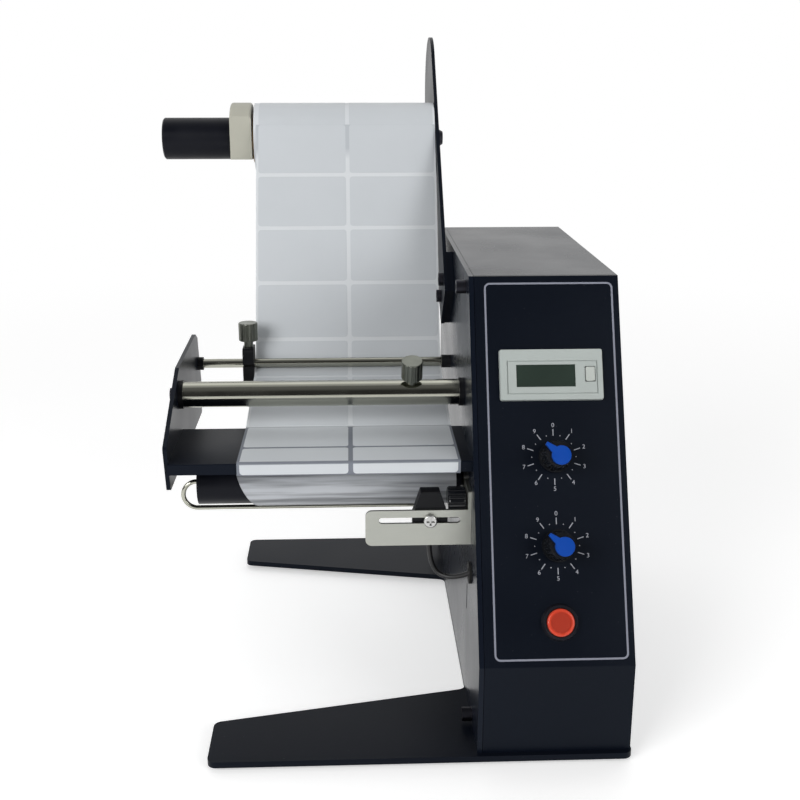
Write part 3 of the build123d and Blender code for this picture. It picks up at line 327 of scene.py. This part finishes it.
def glassine():
    """The liner: light over the open span, with painted shade over the top of the roll, and darker on the table,
    partly where the black table shows through it and partly painted shade.
    """
    n = Finish("liner")
    y, z = n.split(n.coord)[1:]
    before_rear = n.remap(y, place(0, TABLE_REAR + 0.5, 0).y, place(0, TABLE_REAR - 2, 0).y, 0, 1)
    near_top = n.remap(z, (TABLE_TOP + 1.8) / 1000, (TABLE_TOP + 1.2) / 1000, 0, 1)
    # partly painted shade: the liner darker on the table, partly the black table showing through it
    table_shade_and_show_through = n.math("MULTIPLY", before_rear, near_top)
    # painted shade: the liner darker over the top of the roll
    painted_roll_shade = n.remap(z, (SPINDLE.y - 9.8) / 1000, (SPINDLE.y - 3.8) / 1000, 0, 1)
    cloud = n.noise(26, 5, 0.6)
    light = n.mix(painted_roll_shade, n.mix(cloud, srgb("dfe2e5"), srgb("d6dadd")), srgb("bcc1c6"))
    return n.finish(n.mix(table_shade_and_show_through, light, srgb("747983")), n.remap(cloud, 0.3, 0.7, 0.42, 0.52),
                    n.bump(n.noise(600, 4, 0.65, (1, 1.6, 1.6)), 0.10, 0.00006))


def button_plastic():
    """Red translucent button: its rim is painted lighter as a painted glow, its dish is a deeper red."""
    n = Finish("button_red")
    off_axis = n.from_axis(on_panel(CONTROLS_U, BUTTON_S), OUT_PANEL)
    # painted glow: the rim lighter than the dish
    painted_rim_glow = n.remap(off_axis, (BUTTON_DISH_R - 0.4) / 1000, (BUTTON_DISH_R + 0.6) / 1000, 0, 1)
    return n.finish(n.mix(painted_rim_glow, srgb("a83523"), srgb("d0442c")), n.remap(n.noise(60, 3), 0.3, 0.7, 0.22, 0.32),
                    n.bump(n.noise(500, 2), 0.25, 0.00004), Specular_IOR_Level=0.4, Subsurface_Weight=0.15,
                    Subsurface_Radius=(0.004, 0.001, 0.0006))


def lcd_window():
    n = Finish("lcd")
    return n.finish(n.mix(n.noise(70, 2), srgb("28332d"), srgb("303c35")), 0.12,
                    n.bump(n.noise(900, 2), 0.05, 0.00003), Coat_Weight=0.8, Coat_Roughness=0.05)


label_white = label_stock()

finish_of = {
    "base_plate": frame_coat, "rubber_feet": rubber, "inner_side_plate": side_coat, "housing_cover": side_coat,
    "front_panel": panel_coat, "cover_screws": black_steel, "wall_screws": black_steel,
    "counter_body": bezel_grey, "counter_window": lcd_window(), "counter_reset_button": key_white,
    "length_pot": alloy, "speed_pot": alloy, "length_knob": knob_plastic, "speed_knob": knob_plastic,
    "length_knob_cap": cap_blue, "speed_knob_cap": cap_blue, "switch_body": ring_plastic,
    "switch_button": button_plastic(), "power_inlet": black_plastic, "fuse_holder": black_plastic,
    "board_standoffs": brass, "control_board": board, "transformer": iron, "motor_pillars": brass,
    "gear_motor": alloy, "motor_output_shaft": zinc, "drive_coupling": alloy, "take_up_bearing": bright,
    "take_up_shaft": spindle_black, "waste_liner_roll": waste_paper, "hairpin_clip": chrome,
    "end_plate": table_coat, "guide_bar": chrome, "rear_rod": chrome, "bar_collars": black_plastic,
    "rod_bushes": black_plastic, "rod_screws": black_steel, "bar_thumb_screw": knurled_steel,
    "table_plate": table_coat, "paper_guide": black_plastic, "guide_thumb_screw": knurled_steel,
    "spindle_arm": frame_coat, "arm_spacer": frame_coat, "arm_screws": black_steel,
    "spindle_tube": spindle_black, "spindle_end_cap": black_plastic, "spindle_bolt": black_steel,
    "spindle_clip": ivory, "roll_core": cardboard(), "label_roll": roll_paper, "label_web": glassine(),
    "sensor_bracket": nickel, "sensor_block": black_plastic, "sensor_screw": zinc,
    "bracket_knob": knob_plastic, "cable_grommet": rubber, "sensor_cable": cable_jacket,
}
for name, finish in finish_of.items():
    data = nodes[name].data
    data.materials.clear()
    data.materials.append(finish)
    for polygon in data.polygons:
        polygon.material_index = 0


def mesh_object(name, verts, faces, finish, body):
    data = bpy.data.meshes.new(name)
    data.from_pydata([tuple(v) for v in verts], [], faces)
    data.validate()
    work = bmesh.new()
    work.from_mesh(data)
    bmesh.ops.recalc_face_normals(work, faces=work.faces)
    work.to_mesh(data)
    work.free()
    data.materials.append(finish)
    obj = bpy.data.objects.new(name, data)
    bpy.context.scene.collection.objects.link(obj)
    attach(obj, body)


# Labels on the liner: thin sheets with rounded corners that follow the web's middle line, SKIN off what it goes round
SKIN = WEB_CLEARANCE + WEB_THICKNESS / 2
LABEL_THICKNESS, WEB_LABEL_LIFT, ROLL_LABEL_LIFT = 0.1, 0.2, 0.02
ROLL_LABELS, ROLL_LABEL_START, ROLL_LABEL_GAP = 4, 3.0, 2.6
LABEL_GAPS = (-1.0, 30.1, 61.5, 93.5, 125.8, 154.7, 183.6, 212.5, 244.1)
LABEL_GAP, LABEL_CORNER, LABEL_STEP = 2.2, 1.6, 0.9
COLUMNS = ((-107.0, -57.1), (-54.9, -6.5))


def tangent_points():
    """The angle and place where the web leaves the roll, then its corners at the rod and the table's rear."""
    gap = ROD - SPINDLE
    heading = math.atan2(gap.y, gap.x) - math.acos((ROLL_R + ROD_R + 2 * SKIN) / gap.length)
    out = Vector((math.cos(heading), math.sin(heading)))
    rod_reach = ROD_R + SKIN
    rear = Vector((TABLE_REAR, TABLE_TOP + SKIN))
    rise = ROD - rear
    slope = math.atan2(rise.y, rise.x) - math.asin(rod_reach / rise.length)
    below = Vector((math.sin(slope), -math.cos(slope)))
    turn = rod_reach / (1 - out.dot(below))
    return heading, SPINDLE + out * (ROLL_R + SKIN), ROD + (below - out) * turn, rear


def rounded(points, radii, step=0.4):
    """Points along the runs with their corners rounded."""
    line = [points[0]]
    for i, radius in enumerate(radii, 1):
        a, b, c = points[i - 1], points[i], points[i + 1]
        u, v = (a - b).normalized(), (c - b).normalized()
        half = u.angle(v) / 2
        reach = radius / math.tan(half)
        centre = b + (u + v).normalized() * (radius / math.sin(half))
        start, end = b + u * reach - centre, b + v * reach - centre
        turn = start.angle_signed(end)
        count = max(4, int(abs(turn) * radius / step))
        for k in range(count + 1):
            t = turn * k / count
            line.append(centre + Vector((start.x * math.cos(-t) - start.y * math.sin(-t),
                                         start.x * math.sin(-t) + start.y * math.cos(-t))))
    line.append(points[-1])
    return line


heading, leave_roll, round_rod, table_rear = tangent_points()
front_top = Vector((TABLE_FRONT - SKIN, TABLE_TOP + SKIN))
front_low = Vector((TABLE_FRONT - SKIN, TABLE_TOP - TABLE_LIP - SKIN))
web_line = rounded([leave_roll, round_rod, table_rear, front_top, front_low],
                   [ROD_R + SKIN, REAR_BEND_R, LIP_BEND_R])
web_run = [0.0]
for a, b in zip(web_line, web_line[1:]):
    web_run.append(web_run[-1] + (b - a).length)


def on_web(s):
    """Place on the web's middle line and the outward normal of its label side."""
    s = min(max(s, 0.0), web_run[-1])
    i = max(k for k, r in enumerate(web_run[:-1]) if r <= s)
    a, b = web_line[i], web_line[i + 1]
    t = (b - a).normalized()
    return a.lerp(b, (s - web_run[i]) / max(1e-9, web_run[i + 1] - web_run[i])), Vector((t.y, -t.x))


def on_roll(s):
    """Place on the roll's outer turn and the normal there."""
    angle = heading + s / ROLL_R
    out = Vector((math.cos(angle), math.sin(angle)))
    return SPINDLE + out * ROLL_R, out


def label_strip(verts, faces, where, start, length, column, lift):
    """One label as a closed thin solid, that far above the line that it follows."""
    stations = [0.0, 0.1, 0.25, 0.5, 0.9, LABEL_CORNER]
    steps = max(2, int((length - 2 * LABEL_CORNER) / LABEL_STEP))
    middle = [LABEL_CORNER + (length - 2 * LABEL_CORNER) * k / steps for k in range(1, steps)]
    stations = stations + middle + [length - s for s in reversed(stations)]
    rows = []
    for s in stations:
        edge = min(s, length - s)
        inset = 0.0
        if edge < LABEL_CORNER:
            inset = LABEL_CORNER - math.sqrt(max(0, LABEL_CORNER ** 2 - (LABEL_CORNER - edge) ** 2))
        p, out = where(start + s)
        row = []
        for height in (lift, lift + LABEL_THICKNESS):
            q = p + out * height
            for x in (column[0] + inset, column[1] - inset):
                row.append(len(verts))
                verts.append(place(x, q.x, q.y))
        rows.append(row)
    for a, b in zip(rows, rows[1:]):
        faces += [(a[2], a[3], b[3], b[2]), (a[1], a[0], b[0], b[1]),
                  (a[0], a[2], b[2], b[0]), (a[3], a[1], b[1], b[3])]
    first, last = rows[0], rows[-1]
    faces += [(first[0], first[1], first[3], first[2]), (last[1], last[0], last[2], last[3])]


# The gaps lie where the photograph shows them; the foremost row is bent over the table's edge
verts, faces = [], []
for a, b in zip(LABEL_GAPS, (*LABEL_GAPS[1:], web_run[-1] + 0.6)):
    start, end = a + LABEL_GAP / 2, b - LABEL_GAP / 2
    for column in COLUMNS:
        label_strip(verts, faces, on_web, start, end - start, column, WEB_LABEL_LIFT)
mesh_object("web_labels", verts, faces, label_white, "frame")

verts, faces = [], []
pitch = 2 * math.pi * ROLL_R / ROLL_LABELS
for k in range(ROLL_LABELS):
    start = ROLL_LABEL_START + k * pitch
    for column in COLUMNS:
        label_strip(verts, faces, on_roll, start, pitch - ROLL_LABEL_GAP, column, ROLL_LABEL_LIFT)
mesh_object("roll_labels", verts, faces, label_white, "roll")


# Printing on the panel: thin raised ink in the panel's own u and s
INK_HEIGHT = 0.05
BORDER, BORDER_CORNER_R, BORDER_WIDTH = (7.0, 67.4, 3.2, 176.2), 2.7, 0.85
MARKS, NUMBERS_R, NUMBER_SIZE, NUMBER_DEPTH = 10, 14.6, 2.8, 0.03
DOTS_R, DOT_R, TICK_FROM_R, TICK_TO_R, TICK_HALF = 10.2, 0.25, 9.8, 12.8, 0.2


def print_ring(verts, faces, outline, width):
    """A closed printed line of that width, inside the outline, as a thin raised ring."""
    inner = []
    count = len(outline)
    for i, p in enumerate(outline):
        a, b = Vector(outline[i - 1]), Vector(outline[(i + 1) % count])
        p = Vector(p)
        u, v = (p - a).normalized(), (b - p).normalized()
        normal = (Vector((-u.y, u.x)) + Vector((-v.y, v.x))).normalized()
        inner.append(p + normal * width)
    base = len(verts)
    for ring, out in ((outline, 0.0), (inner, 0.0), (outline, INK_HEIGHT), (inner, INK_HEIGHT)):
        verts += [on_panel(q[0], q[1], out) for q in ring]
    for i in range(count):
        j = (i + 1) % count
        o, n, ot, nt = (base + count * k for k in range(4))
        faces += [(ot + i, ot + j, nt + j, nt + i), (o + i, o + j, ot + j, ot + i),
                  (n + j, n + i, nt + i, nt + j), (o + j, o + i, n + i, n + j)]


def corner_path(u0, u1, s0, s1, r, n=6):
    """A rectangle's outline with rounded corners."""
    path = []
    for cu, cs, start in ((u1 - r, s0 + r, -90), (u1 - r, s1 - r, 0), (u0 + r, s1 - r, 90), (u0 + r, s0 + r, 180)):
        for k in range(n + 1):
            angle = math.radians(start + 90 * k / n)
            path.append((cu + r * math.cos(angle), cs + r * math.sin(angle)))
    return path


def slab(verts, faces, corners):
    """A printed mark with those corners, as a thin raised solid."""
    base = len(verts)
    verts += [on_panel(u, s) for u, s in corners] + [on_panel(u, s, INK_HEIGHT) for u, s in corners]
    n = len(corners)
    faces.append(tuple(range(base + n, base + 2 * n)))
    faces.append(tuple(range(base + n - 1, base - 1, -1)))
    faces.extend((base + i, base + (i + 1) % n, base + n + (i + 1) % n, base + n + i) for i in range(n))


def around_dial(centre_s, radius, degrees):
    angle = math.radians(degrees)
    return CONTROLS_U + radius * math.cos(angle), centre_s - radius * math.sin(angle)


verts, faces = [], []
print_ring(verts, faces, corner_path(*BORDER, BORDER_CORNER_R), BORDER_WIDTH)
mesh_object("panel_border", verts, faces, border_ink, "frame")

STEP = 360 / MARKS
verts, faces = [], []
for centre in DIALS_S:
    for k in range(MARKS):
        u, s = around_dial(centre, DOTS_R, 90 - STEP / 2 - STEP * k)
        slab(verts, faces, [(u + DOT_R * math.cos(a), s + DOT_R * math.sin(a))
                            for a in (math.radians(45 * q) for q in range(8))])
    for k in range(MARKS):
        angle = math.radians(90 - STEP * k)
        along, aside = Vector((math.cos(angle), -math.sin(angle))), Vector((-math.sin(angle), -math.cos(angle)))
        slab(verts, faces, [Vector((CONTROLS_U, centre)) + along * r + aside * w for r, w in (
            (TICK_FROM_R, TICK_HALF), (TICK_TO_R, TICK_HALF), (TICK_TO_R, -TICK_HALF), (TICK_FROM_R, -TICK_HALF))])
mesh_object("dial_marks", verts, faces, ink, "frame")


def number_mesh(text, u, s):
    """A printed number in the panel's plane, as a mesh in the row frame."""
    data = bpy.data.curves.new("number", "FONT")
    data.body = text
    data.size = NUMBER_SIZE / 1000
    data.align_x, data.align_y = "CENTER", "CENTER"
    data.extrude = NUMBER_DEPTH / 1000
    data.materials.append(ink)
    text_obj = bpy.data.objects.new("number", data)
    bpy.context.scene.collection.objects.link(text_obj)
    turn = Matrix((ACROSS, UP_PANEL, OUT_PANEL)).transposed().to_4x4()
    text_obj.matrix_world = Matrix.Translation(on_panel(u, s, INK_HEIGHT)) @ turn
    bpy.context.view_layer.update()
    mesh = bpy.data.meshes.new_from_object(text_obj.evaluated_get(bpy.context.evaluated_depsgraph_get()))
    mesh.transform(text_obj.matrix_world)
    bpy.data.objects.remove(text_obj)
    return mesh


numbers = bmesh.new()
for centre in DIALS_S:
    for k in range(MARKS):
        mesh = number_mesh(str(k), *around_dial(centre, NUMBERS_R, 90 - STEP * k))
        numbers.from_mesh(mesh)
        bpy.data.meshes.remove(mesh)
data = bpy.data.meshes.new("dial_numbers")
numbers.to_mesh(data)
numbers.free()
data.materials.clear()
data.materials.append(ink)
dial_numbers = bpy.data.objects.new("dial_numbers", data)
bpy.context.scene.collection.objects.link(dial_numbers)
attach(dial_numbers, "frame")

# Sensor cable on a smooth curve, as a tube that bends between the wall and the sensor
CABLE = [(-19.1, 51.5, 87.95), (-19.1, 51.5, 73.4), (-8.6, 46.2, 69.2), (-0.2, 41.0, 75.5)]
CABLE_R = 0.0012
data = bpy.data.curves.new("cable_route", "CURVE")
data.dimensions = "3D"
spline = data.splines.new("NURBS")
spline.points.add(len(CABLE) - 1)
for point, p in zip(spline.points, CABLE):
    point.co = (*place(*p), 1)
spline.order_u = 3
spline.use_endpoint_u = True
spline.resolution_u = 12
route = bpy.data.objects.new("cable_route", data)
bpy.context.scene.collection.objects.link(route)
bpy.context.view_layer.update()
route_mesh = bpy.data.meshes.new_from_object(route.evaluated_get(bpy.context.evaluated_depsgraph_get()))
cable_line = [v.co.copy() for v in route_mesh.vertices]
bpy.data.meshes.remove(route_mesh)
bpy.data.objects.remove(route)


def tube(line, radius, sides=14):
    """Tube with capped ends along a line of points, its sides carried along it without twist."""
    verts, faces = [], []
    normal = (line[1] - line[0]).orthogonal().normalized()
    for i, p in enumerate(line):
        ahead = (line[min(i + 1, len(line) - 1)] - line[max(i - 1, 0)]).normalized()
        normal = (normal - ahead * normal.dot(ahead)).normalized()
        side = ahead.cross(normal)
        for k in range(sides):
            angle = 2 * math.pi * k / sides
            verts.append(p + (normal * math.cos(angle) + side * math.sin(angle)) * radius)
    for i in range(len(line) - 1):
        for k in range(sides):
            j = (k + 1) % sides
            faces.append((i * sides + k, i * sides + j, (i + 1) * sides + j, (i + 1) * sides + k))
    faces.append(tuple(range(sides - 1, -1, -1)))
    faces.append(tuple(range((len(line) - 1) * sides, len(line) * sides)))
    return verts, faces


verts, faces = tube(cable_line, CABLE_R)
data = bpy.data.meshes.new("sensor_lead")
data.from_pydata([tuple(v) for v in verts], [], faces)
data.materials.append(cable_jacket)
for polygon in data.polygons:
    polygon.use_smooth = len(polygon.vertices) == 4
sensor_lead = bpy.data.objects.new("sensor_lead", data)
bpy.context.scene.collection.objects.link(sensor_lead)
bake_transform(sensor_lead)
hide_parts("sensor_cable")

# Studio: pale floor, soft lamps, white surroundings
FLOOR_GLOW, FLOOR_SHADOW_TO, FLOOR_WHITE_FROM, FLOOR_HALF = 0.40, 0.35, 1.1, 4


def emission(nodes, strength):
    node = nodes.new("ShaderNodeEmission")
    node.inputs["Color"].default_value = (1, 1, 1, 1)
    node.inputs["Strength"].default_value = strength
    return node.outputs[0]


def mix_shader(nodes, factor, a, b):
    node = nodes.new("ShaderNodeMixShader")
    for value, socket in zip((factor, a, b), node.inputs):
        nodes.link(value, socket)
    return node.outputs[0]


def floor_finish():
    """Pale floor that keeps the object's shadow and is white beyond it, to the camera and in glossy surfaces."""
    n = Finish("floor")
    n.finish(n.mix(n.noise(3, 2), (0.86, 0.86, 0.86), (0.88, 0.88, 0.88)), 0.55)
    path = n.new("ShaderNodeLightPath").outputs
    seen = n.math("MAXIMUM", path["Is Camera Ray"], path["Is Glossy Ray"])
    lifted = n.new("ShaderNodeAddShader")
    n.link(n.shader.outputs[0], lifted.inputs[0])
    n.link(emission(n, FLOOR_GLOW), lifted.inputs[1])
    near = mix_shader(n, seen, n.shader.outputs[0], lifted.outputs[0])
    far = n.math("MULTIPLY", n.remap(n.length(n.coord), FLOOR_SHADOW_TO, FLOOR_WHITE_FROM, 0, 1, smooth=True), seen)
    n.link(mix_shader(n, far, near, emission(n, 1.0)), n.tree.nodes["Material Output"].inputs["Surface"])
    return n.mat


floor = bpy.data.objects.new("floor", bpy.data.meshes.new("floor"))
floor.data.from_pydata([(x * FLOOR_HALF, y * FLOOR_HALF, 0) for x, y in ((-1, -1), (1, -1), (1, 1), (-1, 1))], [],
                       [(0, 1, 2, 3)])
floor.data.materials.append(floor_finish())
bpy.context.scene.collection.objects.link(floor)

# The room: a white backdrop behind, a pale ceiling, dim on the side of the camera
BACKDROP_LIGHT, CEILING_LIGHT, LEAST_LIGHT = 0.85, 0.2, 0.04
scene = bpy.context.scene
scene.world = bpy.data.worlds.new("studio")
scene.world.use_nodes = True
room = Nodes(scene.world.node_tree)
ahead, up = room.split(room.new("ShaderNodeTexCoord").outputs["Generated"])[1:]
backdrop = room.remap(ahead, -0.1, 0.5, 0.0, 1.0, smooth=True)
ceiling = room.remap(up, 0.5, 0.95, LEAST_LIGHT, CEILING_LIGHT, smooth=True)
path = room.new("ShaderNodeLightPath").outputs
light = room.math("MAXIMUM", room.math("MULTIPLY", backdrop, BACKDROP_LIGHT), ceiling)
mirrored = room.math("MULTIPLY", path["Is Glossy Ray"], backdrop)
straight = room.math("MAXIMUM", path["Is Camera Ray"], path["Is Transmission Ray"])
background = room.tree.nodes["Background"]
background.inputs["Color"].default_value = (1, 1, 1, 1)
room.link(room.math("MAXIMUM", room.math("MAXIMUM", straight, mirrored), light), background.inputs["Strength"])


def lamp(name, where, target, size, power):
    data = bpy.data.lights.new(name, "AREA")
    data.size = size
    data.energy = power
    obj = bpy.data.objects.new(name, data)
    obj.location = where
    obj.rotation_euler = (Vector(target) - Vector(where)).to_track_quat("-Z", "Y").to_euler()
    scene.collection.objects.link(obj)


lamp("key", (-1.0, -1.2, 0.8), (0, 0, 0.15), 0.9, 18)
lamp("fill", (1.1, -1.2, 0.7), (0, 0, 0.15), 1.0, 11)
lamp("top", (0.0, 0.3, 1.5), (0, 0, 0.1), 1.2, 1.5)

# Camera at the photograph's angle: where it stands, its lens in pixels of the 800-pixel frame, its centre there
PHOTO_SIZE, FOCAL_PX, CENTRE_PX = 800, 1137.19, (394.67, 400.54)
PITCH_DOWN, YAW_RIGHT, SENSOR = 0.295228, 0.03954, 36
camera = bpy.data.objects.new("camera", bpy.data.cameras.new("camera"))
scene.collection.objects.link(camera)
scene.camera = camera
camera.location = place(-55.249, -446.894, 309.229)
camera.rotation_euler = (math.pi / 2 - PITCH_DOWN, 0, -YAW_RIGHT)
camera.data.sensor_width = SENSOR
camera.data.lens = SENSOR * FOCAL_PX / PHOTO_SIZE
camera.data.shift_x = (PHOTO_SIZE / 2 - CENTRE_PX[0]) / PHOTO_SIZE
camera.data.shift_y = (CENTRE_PX[1] - PHOTO_SIZE / 2) / PHOTO_SIZE
camera.data.clip_start = 0.01
camera.data.clip_end = 50
scene.view_settings.view_transform = "Standard"
